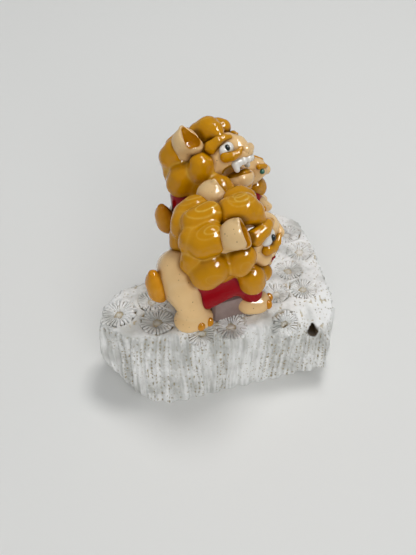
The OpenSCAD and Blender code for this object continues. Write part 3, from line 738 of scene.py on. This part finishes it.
red_glaze = glaze("copper_red_glaze", "93000F", "4A0012", "A8142A", rims=0.12, gloss=0.16)
for side, lion in lions.items():
    if lion["sitting"]:
        lumps = [roll((-7, 0, 12), (-7.5, 0, 21.5), (8.5, 8, 7), (8.5, 8.2, 8)),
                 roll((-7, 0, 12), (1, 0, 20.5), 7),
                 *both([roll((2.5, 4.2, 17), (6.4, 5.4, 6), 4, 3.4)])]
    else:
        lumps = [roll((-6.5, 0, 16.5), (4.5, 0, 17), (8, 8, 7.5), 7.5),
                 *both([roll((-5.2, 4.6, 9), (3.5, 4.4, 11), 4.4, 4),
                        roll((6.8, 4.8, 12), (9.2, 6, 6.6), 4, 3.5)])]
    trunk = model_clay(side + "_trunk_glazed", lion, lion["body"], lumps, blend=2.2)
    fix(trunk, "red_glaze", red_glaze, side + "_trunk")

# Hindquarters
# The rump, thighs and hind feet are cream, pressed on behind the red body. The cream glaze is
# thin, so the clay's iron shows through it as small dark specks.
cream_glaze = glaze("cream_ash_glaze", "E6C088", "B07C3C", "F0D8AC", speck="6B4A28", rims=0.5,
                    pooling=0.9, lined="CC9010")
for side, lion in lions.items():
    if lion["sitting"]:
        lumps = [roll((-10.3, 0, 10.4), (-10.7, 0, 8.6), (6.8, 7.8, 8), (7, 8, 8)),
                 *both([roll((-8.5, 6, 8), (-6, 6.8, 6), (5, 3.6, 6), (4, 3.4, 4)),
                        roll((-7.5, 7, 3), (-3.5, 7, 2.8), (4.4, 4, 3.4), (4, 3.9, 3.2))])]
    else:
        lumps = [roll((-11.6, 0, 15.2), (-11.8, 0, 13.4), (6.2, 8, 8), (6.2, 8.2, 7.8)),
                 *both([roll((-12, 5.6, 14), (-9.6, 6.6, 5.5), (4.4, 3.8, 5), (4.3, 3.7, 4)),
                        roll((-11, 7.2, 3.2), (-8, 7.2, 3.2), (4.6, 4.3, 3.7), (4.4, 4.3, 3.5))])]
    rump = model_clay(side + "_hindquarters_glazed", lion, lion["body"], lumps, blend=1.6,
                      floor=-feet_sink)
    fix(rump, "cream_glaze", cream_glaze, side + "_hindquarters")

# Forepaws
# Two cream lumps under the red sleeves, pressed flat on the stone.
for side, lion in lions.items():
    reach = lion["reach"]
    lumps = both([roll((reach - 1.2, 6.6, 3.1), (reach + 1.2, 6.9, 2.9), (4, 4, 3.5), (4, 4.1, 3.3))])
    paws = model_clay(side + "_forepaws_glazed", lion, lion["body"], lumps, floor=-feet_sink)
    fix(paws, "cream_glaze", cream_glaze, side + "_forepaws")

# Tails
# A leaf of clay stands up behind each lion, in an orange amber glaze.
amber_glaze = glaze("amber_glaze", "C98408", "7E4A00", "E2AC3C", rims=0.35, pooling=0.8)
for side, lion in lions.items():
    lumps = strand([(-17.6, 0, 10.6), (-18.3, 0, 12.2), (-19.0, 0, 14.8), (-19.4, 0, 17.9)],
                   [(2.2, 3.2, 3.2), (2.7, 4.1, 4.0), (2.1, 3.2, 3.0), (1.3, 1.5, 1.4)])
    tail = model_clay(side + "_tail_glazed", lion, lion["body"], lumps, blend=2.0)
    fix(tail, "amber_glaze", amber_glaze, side + "_tail")

# Claws
# Small beads of clay pressed on the toes, two to a foot, amber glazed.
for side, lion in lions.items():
    front, hind = lion["reach"], lion["hind"]
    spots = [(front + 3.7, 9.5, 3.2), (front + 5, 6.9, 3.2), (hind + 1, 11, 3.2), (hind + 3.9, 10.3, 3.3)]
    lumps = both([roll(spot, np.array(spot) + (0, 0, 0.1), (1.3, 1.3, 1.56)) for spot in spots])
    claws = model_clay(side + "_claws_glazed", lion, lion["body"], lumps, blend=0.2)
    fix(claws, "amber_glaze", amber_glaze, side + "_claws")

# Heads
# The face is pressed into the socket of the mane: a round skull, a nose bridge and a muzzle,
# all in the cream glaze. The rear lion's mouth is open and mustard glazed inside.
skull = [roll((5.5, 0, 1), (7, 0, 1.5), (8, 7.8, 8.8), (7.8, 7.6, 8.2))]
nose_bridge = strand([(10.6, 0, 6.6), (14, 0, 4.6), (15.8, 0, 1.4)],
                     [(4, 4.6, 3.6), (3, 3.6, 3), (2.6, 3.4, 2.6)])
closed_muzzle = [roll((11.6, 0, -2.8), (13.4, 0, -3), (4.6, 5.4, 4.4), (4.2, 5.1, 4.3)),
                 roll((12.6, 0, -7.8), (12.7, 0, -7.8), (3.4, 4.4, 3.1)),
                 *both([roll((10.4, 6.3, -2.2), (10.5, 6.3, -2.2), (2.6, 2.4, 2.5))])]
open_muzzle = [roll((12.6, 0, 0.6), (15.6, 0, 1.4), (4.4, 5.4, 2.8), (2.6, 4, 2.2))]
mouth = [roll((9.8, 0, -2.8), (16, 0, -3), (4, 7.4, 3), (4, 6, 2.8))]
for side, lion in lions.items():
    muzzle, hollows = (open_muzzle, mouth) if lion["sitting"] else (closed_muzzle, ())
    head = model_clay(side + "_head_glazed", lion, lion["head"], skull + nose_bridge + muzzle,
                      blend=1.5, hollows=hollows, lining=hollows)
    fix(head, "cream_glaze", cream_glaze, side + "_head")

# Manes
# Rolled lobes of clay stand round the head like thick curls, each with a raised oval line
# drawn on it. The mustard glaze pools brown between the lobes and breaks pale on the lines.
mustard_glaze = glaze("mustard_iron_glaze", "C48700", "7A4E00", "DDB850", rims=0.45, pooling=1.0)
lobe = 4.4
mane_core = [roll((-2.5, 0, -0.5), (1, 0, 0.5), (9.6, 9.6, 10.6), (9, 9.4, 10.6))]
mane_top = roll((-8.6, 0, 12.2), (-3.6, 0, 13.5), lobe * 0.82, lobe * 0.86)
mane_upper = roll((-8.2, 6, 9.2), (-5.6, 6.4, 10.2), lobe * 1.04, lobe * 1.08)
mane_side = roll((-8, 8.4, -0.6), (-6, 8.8, 1.2), lobe * 1.1)
mane_cheek = roll((1.6, 9.2, 1.2), (2.8, 9.2, 3.2), lobe * 0.94, lobe * 0.92)
mane_jowl = roll((6.6, 8, -8.8), (6.2, 8.2, -6.6), lobe * 0.94)
mane_chin = roll((11, 5, -9.2), (10.8, 2.6, -10), lobe * 0.7)
mane_back = roll((-11, 3.4, 8), (-10.8, 3.6, 9.4), lobe * 0.76, lobe * 0.76)
mane_nape = roll((-11.1, 4.6, 1.2), (-11, 5, 3.6), lobe * 0.76, lobe * 0.74)
# Each line: its middle, the way it faces, the way its long side runs, its two radii, and how
# strongly the oval and the line round the lobe's edge stand out
mane_lines = [((-4.9, 0, 17), (-0.1, 0, 1), (1, 0, 0.25), (3.1, 1.5), (1, 0.6)),
              ((-5.9, 7.4, 14), (0, 0.4, 1), (1, 0, 0.2), (2.2, 1.2), (0.7, 0.3)),
              ((-7, 13.2, 1), (-0.1, 1, 0.1), (0, 0, 1), (1.6, 2.6), (0.15, 0)),
              ((2.3, 13.2, 2.6), (0.2, 1, 0.1), (0.2, 0, 1), (1.9, 1.5), (0.15, 0.1))]


def drawn_lines(lines, height=0.07, width=0.22):
    """Relief of raised ovals, with a fainter one round the edge of the lobe."""
    def relief(points, ways):
        strength = np.zeros(len(points))
        for middle, way, run, (long_half, short_half), shares in lines:
            for flip in ((1, 1, 1), (1, -1, 1)):
                way_in = np.array(way) * flip / np.linalg.norm(way)
                run_in = np.array(run) * flip
                run_in = run_in - way_in * (run_in @ way_in)
                run_in /= np.linalg.norm(run_in)
                across = np.cross(way_in, run_in)
                offset = points - np.array(middle) * flip
                u, v = offset @ run_in, offset @ across
                facing = fade(ways @ way_in, 0.1, 0.5) * fade(-np.abs(offset @ way_in), -3.5, -1.5)
                ring = np.sqrt((u / long_half) ** 2 + (v / short_half) ** 2) + 1e-6
                slope = np.sqrt(u ** 2 / long_half ** 4 + v ** 2 / short_half ** 4) / ring + 1e-6
                for at, share in zip((1.0, 1.95), shares):
                    close = np.exp(-(((ring - at) / slope) / width) ** 2) * share * facing
                    strength = np.maximum(strength, close)
        return strength * height, strength * 0.75
    return relief


for side, lion in lions.items():
    lumps = mane_core + [mane_top] + both([mane_upper, mane_side, mane_cheek, mane_jowl, mane_back,
                                           mane_nape])
    if not lion["sitting"]:
        lumps += both([mane_chin])
    mane = model_clay(side + "_mane_glazed", lion, lion["head"], lumps, hollows=skull,
                      blend=2.2 if lion["sitting"] else 1.4,
                      relief=None if lion["sitting"] else drawn_lines(mane_lines))
    fix(mane, "mustard_glaze", mustard_glaze, side + "_mane")

# Crests
# A fat curl rises over the forehead and hooks down towards the brow, with a second small
# curl beside it. Both are mustard glazed.
crest_curl = strand([(2.4, -0.3, 12.8), (6.3, -0.7, 13), (8.6, -1.8, 11.9), (10, -3, 9.9)],
                    [4.4, 4.7, 3.4, 2.2])
crest_side = strand([(5.1, 4.7, 12.7), (7.4, 4.9, 12.8), (9.1, 4.8, 12.1)], [3.3, 3.3, 3.05])
crest_lines = [((5.4, -0.8, 17.4), (0.05, -0.25, 1), (1, 0, 0), (2, 1.4), (0.9, 0.4))]
for side, lion in lions.items():
    crest = model_clay(side + "_crest_glazed", lion, lion["head"], crest_curl + crest_side,
                       blend=0.7, relief=drawn_lines(crest_lines))
    fix(crest, "mustard_glaze", mustard_glaze, side + "_crest")

# Ears
# Cups of cream clay with a thin lip that open forwards. The inside holds mustard glaze.
ear_glaze = glaze("cream_ear_glaze", "D9B783", "B07F48", "EBD5AC", speck="6B4A28", rims=0.6,
                  pooling=0.6, lined="B67A08")
for side, lion in lions.items():
    for hand, sign in (("left", 1), ("right", -1)):
        shell = [roll((-2.2, sign * 7.4, 9), (0.6, sign * 9.2, 12.2), 3.4, (4.9, 4.4, 4.5)),
                 roll((2.8, sign * 8.8, 9.8), (0.6, sign * 9.2, 12.2), 3.2, (4.9, 4.4, 4.5)),
                 roll((0.6, sign * 9.2, 12.8), (1.2, sign * 9.2, 16.7), 4.1, 1.2)]
        cup = roll((2.4, sign * 9.6, 12), (2.2, sign * 9.5, 15.5), 3.5, 1.4)
        mouth_of_cup = roll((29.3, sign * 18.2, 24), (29.4, sign * 18.2, 24), 30)
        ear = model_clay(f"{side}_ear_{hand}_glazed", lion, lion["head"], shell,
                         hollows=[mouth_of_cup, cup], hollow_blend=0.35, lining=[cup])
        fix(ear, "cream_glaze", ear_glaze, f"{side}_ear_{hand}")

# Brows
# Tadpole-shaped pellets with a fat outer end and a tail that runs in over the nose.
for side, lion in lions.items():
    slim = 0.78 if lion["sitting"] else 1
    lumps = both(strand([(7.4, 6.9, 7.1), (10.4, 5.8, 8.2), (12.2, 4.4, 8.5), (13.8, 2.9, 8.1)],
                        [2.75 * (1 + slim) / 2, 2.1 * slim, 1.5 * slim, 1.1 * slim]))
    brows = model_clay(side + "_brows_glazed", lion, lion["head"], lumps, blend=0.9)
    fix(brows, "mustard_glaze", mustard_glaze, side + "_brows")

# Eyes
# White glazed balls set under the brows.
white_glaze = glaze("white_tin_glaze", "E2E0DA", "BDAE92", "F0F0EE", rims=0.1, pooling=0.7)
for side, lion in lions.items():
    lumps = both([roll((11.3, 6, 4.3), (12.7, 4.6, 4.8), (1.8, 1.8, 2.1))])
    eyes = model_clay(side + "_eyes_glazed", lion, lion["head"], lumps, blend=0.3, cell=clay_cell * 0.7)
    fix(eyes, "white_glaze", white_glaze, side + "_eyes")

# Pupils
# A thick drop of near-black green glaze stands on each eye.
ink_glaze = glaze("black_green_glaze", "15211F", "0A1010", "3A5A50", rims=0.1, pooling=0.2)
for side, lion in lions.items():
    lumps = both([roll((13.1, 6.5, 5), (13.15, 6.5, 5), (0.81, 0.9, 1.17))])
    pupils = model_clay(side + "_pupils_glazed", lion, lion["head"], lumps, blend=0.2,
                        cell=clay_cell * 0.5)
    fix(pupils, "ink_glaze", ink_glaze, side + "_pupils")

# Whisker curls
# Comma-shaped curls start under each eye and rise beside the nose.
for side, lion in lions.items():
    rise = 0.8 if lion["sitting"] else 0
    lumps = both(strand([(11.4, 6.9, 1.4 + rise), (13.6, 6, 0.9 + rise), (15.4, 4.8, 1.2 + rise),
                         (16.4, 3.7, 2.6 + rise / 2)], [1.95, 1.6, 1.15, 0.85]))
    curls = model_clay(side + "_whisker_curls_glazed", lion, lion["head"], lumps, blend=0.6)
    fix(curls, "mustard_glaze", mustard_glaze, side + "_whisker_curls")

# Noses
# A small cream button across the end of the muzzle.
for side, lion in lions.items():
    lumps = [roll((17.2, -2, 2.2), (17.2, 2, 2.2), (1.6, 1.6, 1.8))]
    nose = model_clay(side + "_nose_glazed", lion, lion["head"], lumps, cell=clay_cell * 0.7)
    fix(nose, "cream_glaze", cream_glaze, side + "_nose")

# Lips
# A thin line of red glaze marks the near lion's closed mouth.
lion = lions["near"]
lips = model_clay("near_lips_glazed", lion, lion["head"],
                  both([roll((13.5, 4.5, -5.7), (15.2, 3.3, -5.7), 0.7)]), cell=clay_cell * 0.5)
fix(lips, "red_glaze", red_glaze, "near_lips")

# Lower jaw
# The rear lion's open mouth has a scoop of cream clay as its lower lip.
lion = lions["rear"]
jaw = model_clay("rear_lower_jaw_glazed", lion, lion["head"],
                 [roll((8.5, 0, -6.9), (11.9, 0, -6.9), (4.9, 6.3, 3.9), (3.5, 4.9, 3.2))],
                 hollows=mouth, lining=mouth)
fix(jaw, "cream_glaze", cream_glaze, "rear_lower_jaw")

# Teeth
# A row of white teeth and two fangs hang from the rear lion's upper lip.
teeth = model_clay("rear_teeth_glazed", lion, lion["head"],
                   both([roll((16.5, 1.1, -0.8), (16.5, 1.1, -1.2), (1.4, 1.3, 1.3)),
                         roll((15.3, 2.9, -0.8), (15.3, 2.9, -1.2), (1.4, 1.3, 1.4)),
                         roll((14, 4, -0.9), (14, 4, -1.3), (1.35, 1.2, 1.4)),
                         roll((12.9, 4.7, -1.1), (12.8, 4.9, -3.2), 1.5, 1.05)]),
                   blend=0.4, cell=clay_cell * 0.6)
fix(teeth, "white_glaze", white_glaze, "rear_teeth")

# Tongue
# A flat mustard lump lies in the open mouth.
tongue = model_clay("rear_tongue_glazed", lion, lion["head"],
                    [roll((9.4, 0, -5.4), (12.8, 0, -5.2), (3.2, 4.2, 1.8), (2.2, 3, 1.4))])
fix(tongue, "mustard_glaze", mustard_glaze, "rear_tongue")

# Cub
# A small figure sits up in front of the rear lion, made in the same way from smaller lumps.
green_glaze = glaze("copper_green_glaze", "2A6A58", "12332B", "7FB8A4", rims=0.1, pooling=0.2)
cub_pieces = [
    ("body", red_glaze, "red_glaze",
     [roll((-0.4, 0, 4.4), (0.4, 0, 10), (4, 3.8, 4.4), (3.2, 3.2, 3.4))]),
    ("haunches", cream_glaze, "cream_glaze",
     both([roll((-1.8, 3, 3), (1, 3.4, 1.5), (2.6, 1.9, 3), (2.4, 1.8, 1.5))])),
    ("paws", cream_glaze, "cream_glaze",
     both([roll((2, 1.8, 5.2), (4.6, 2.1, 1.5), (1.7, 1.6, 1.7), (2.2, 1.8, 1.6))])),
    ("head", cream_glaze, "cream_glaze",
     [roll((-0.8, 0, 15.8), (1.4, 0, 17.2), (3.8, 3.9, 4), (3.3, 3.6, 3.6)),
      roll((2.4, 0, 16.6), (4.6, 0, 16), 2.4, 1.7)]),
    ("mane", mustard_glaze, "mustard_glaze",
     [roll((0.6, 0, 11.6), (2.6, 0, 9.6), (3.4, 4.2, 2.6), (2.4, 3.4, 3.4))]),
    ("ears", cream_glaze, "cream_glaze", both([roll((-2.6, 2.9, 17.4), (-2.7, 3.9, 18.8), 1.5, 1.4)])),
    ("brows", mustard_glaze, "mustard_glaze", both([roll((1, 2.7, 19.9), (3.5, 1.7, 18.9), 1, 0.9)])),
    ("tail", amber_glaze, "amber_glaze",
     [roll((-4.4, 0, 3.6), (-5, 0, 6.4), (1.2, 1.8, 1.9), (0.8, 0.9, 0.9))]),
    ("eyes", green_glaze, "green_glaze", both([roll((1.9, 3.3, 18.2), (1.95, 3.3, 18.2), 0.9)]))]
for name, material, slot, lumps in cub_pieces:
    piece = model_clay(f"cub_{name}_glazed", cub, cub["body"], lumps, blend=0.9, floor=-feet_sink,
                       cell=clay_cell * 0.75)
    fix(piece, slot, material, "cub_" + name)

# Glaze in the creases
# In the kiln the glaze runs off edges and pools where lumps meet. How close the other lumps
# of a figure lie outside and inside each point says how thick the glaze is there.
for figure in (*lions.values(), cub):
    for piece in figure["made"]:
        points, ways = points_of(piece)
        tests = {"crease": (points + ways * 1.5, 1.5, 1), "edge": (points - ways * 0.9, 0.9, -1)}
        for name, (spots, reach, sign) in tests.items():
            nearest = np.full(len(spots), 9.0)
            for back, scale, lump in figure["lumps"]:
                local = spots @ back[:3, :3].T + back[:3, 3]
                middle = (lump[0] + lump[1]) / 2
                extent = np.linalg.norm(lump[1] - lump[0]) / 2 + max(lump[2].max(), lump[3].max()) + 3
                close = ((local - middle) ** 2).sum(1) < extent ** 2
                if close.any():
                    nearest[close] = np.minimum(nearest[close],
                                                roll_distance(local[close], lump) * scale)
            open_share = np.clip(sign * nearest / reach, 0, 1)
            paint(piece, name, (1 - open_share) ** 1.3)

# Floor
# A plain pale tabletop that only catches the shadow.
floor_paint, tree = blank_material("pale_tabletop")
finish_shader(tree, add_node(tree, "ShaderNodeBsdfPrincipled",
                             {"Base Color": srgb("E4E4E1"), "Roughness": 0.7,
                              "Specular IOR Level": 0.2}))
floor_mesh = bpy.data.meshes.new("tabletop")
floor_reach = 3
floor_corners = [(-floor_reach, -floor_reach, 0), (floor_reach, -floor_reach, 0),
                 (floor_reach, floor_reach, 0), (-floor_reach, floor_reach, 0)]
floor_mesh.from_pydata(floor_corners, [], [(0, 1, 2, 3)])
floor_mesh.materials.append(floor_paint)
tabletop = bpy.data.objects.new("tabletop", floor_mesh)
bpy.context.scene.collection.objects.link(tabletop)

# Light
# Soft daylight from above and behind, evened out by a pale room and by a broad soft lamp on the
# camera's side. A window split by a bar shows in the glaze as bright panes.
world = bpy.data.worlds.new("pale_room")
world.use_nodes = True
world.node_tree.nodes["Background"].inputs["Color"].default_value = srgb("F2F4F7")
world.node_tree.nodes["Background"].inputs["Strength"].default_value = 0.34
bpy.context.scene.world = world
# Each lamp: its place, its width and height, its watts, whether it lights matt surfaces, and
# whether the glaze shows it
lamps = {"daylight": ((0.20, 0.14, 0.80), (0.26, 0.20), 2.7, True, True),
         "room_side": ((-0.3, -1.6, 1.05), (1.5, 1.2), 15, True, False),
         "window_pane": ((0.27, -0.40, 0.68), (0.40, 0.22), 11, False, True),
         "window_top_pane": ((0.29, -0.20, 0.76), (0.40, 0.07), 3.5, False, True)}
for name, (place, (width, height), watts, lights, shows) in lamps.items():
    lamp = bpy.data.lights.new(name, "AREA")
    lamp.shape = "RECTANGLE"
    lamp.size = width
    lamp.size_y = height
    lamp.energy = watts
    pane = bpy.data.objects.new(name, lamp)
    pane.location = place
    pane.rotation_euler = (Vector(place) - camera_aim).to_track_quat("Z", "Y").to_euler()
    pane.visible_diffuse = lights
    pane.visible_glossy = shows
    bpy.context.scene.collection.objects.link(pane)

bpy.context.scene.view_settings.view_transform = "Standard"
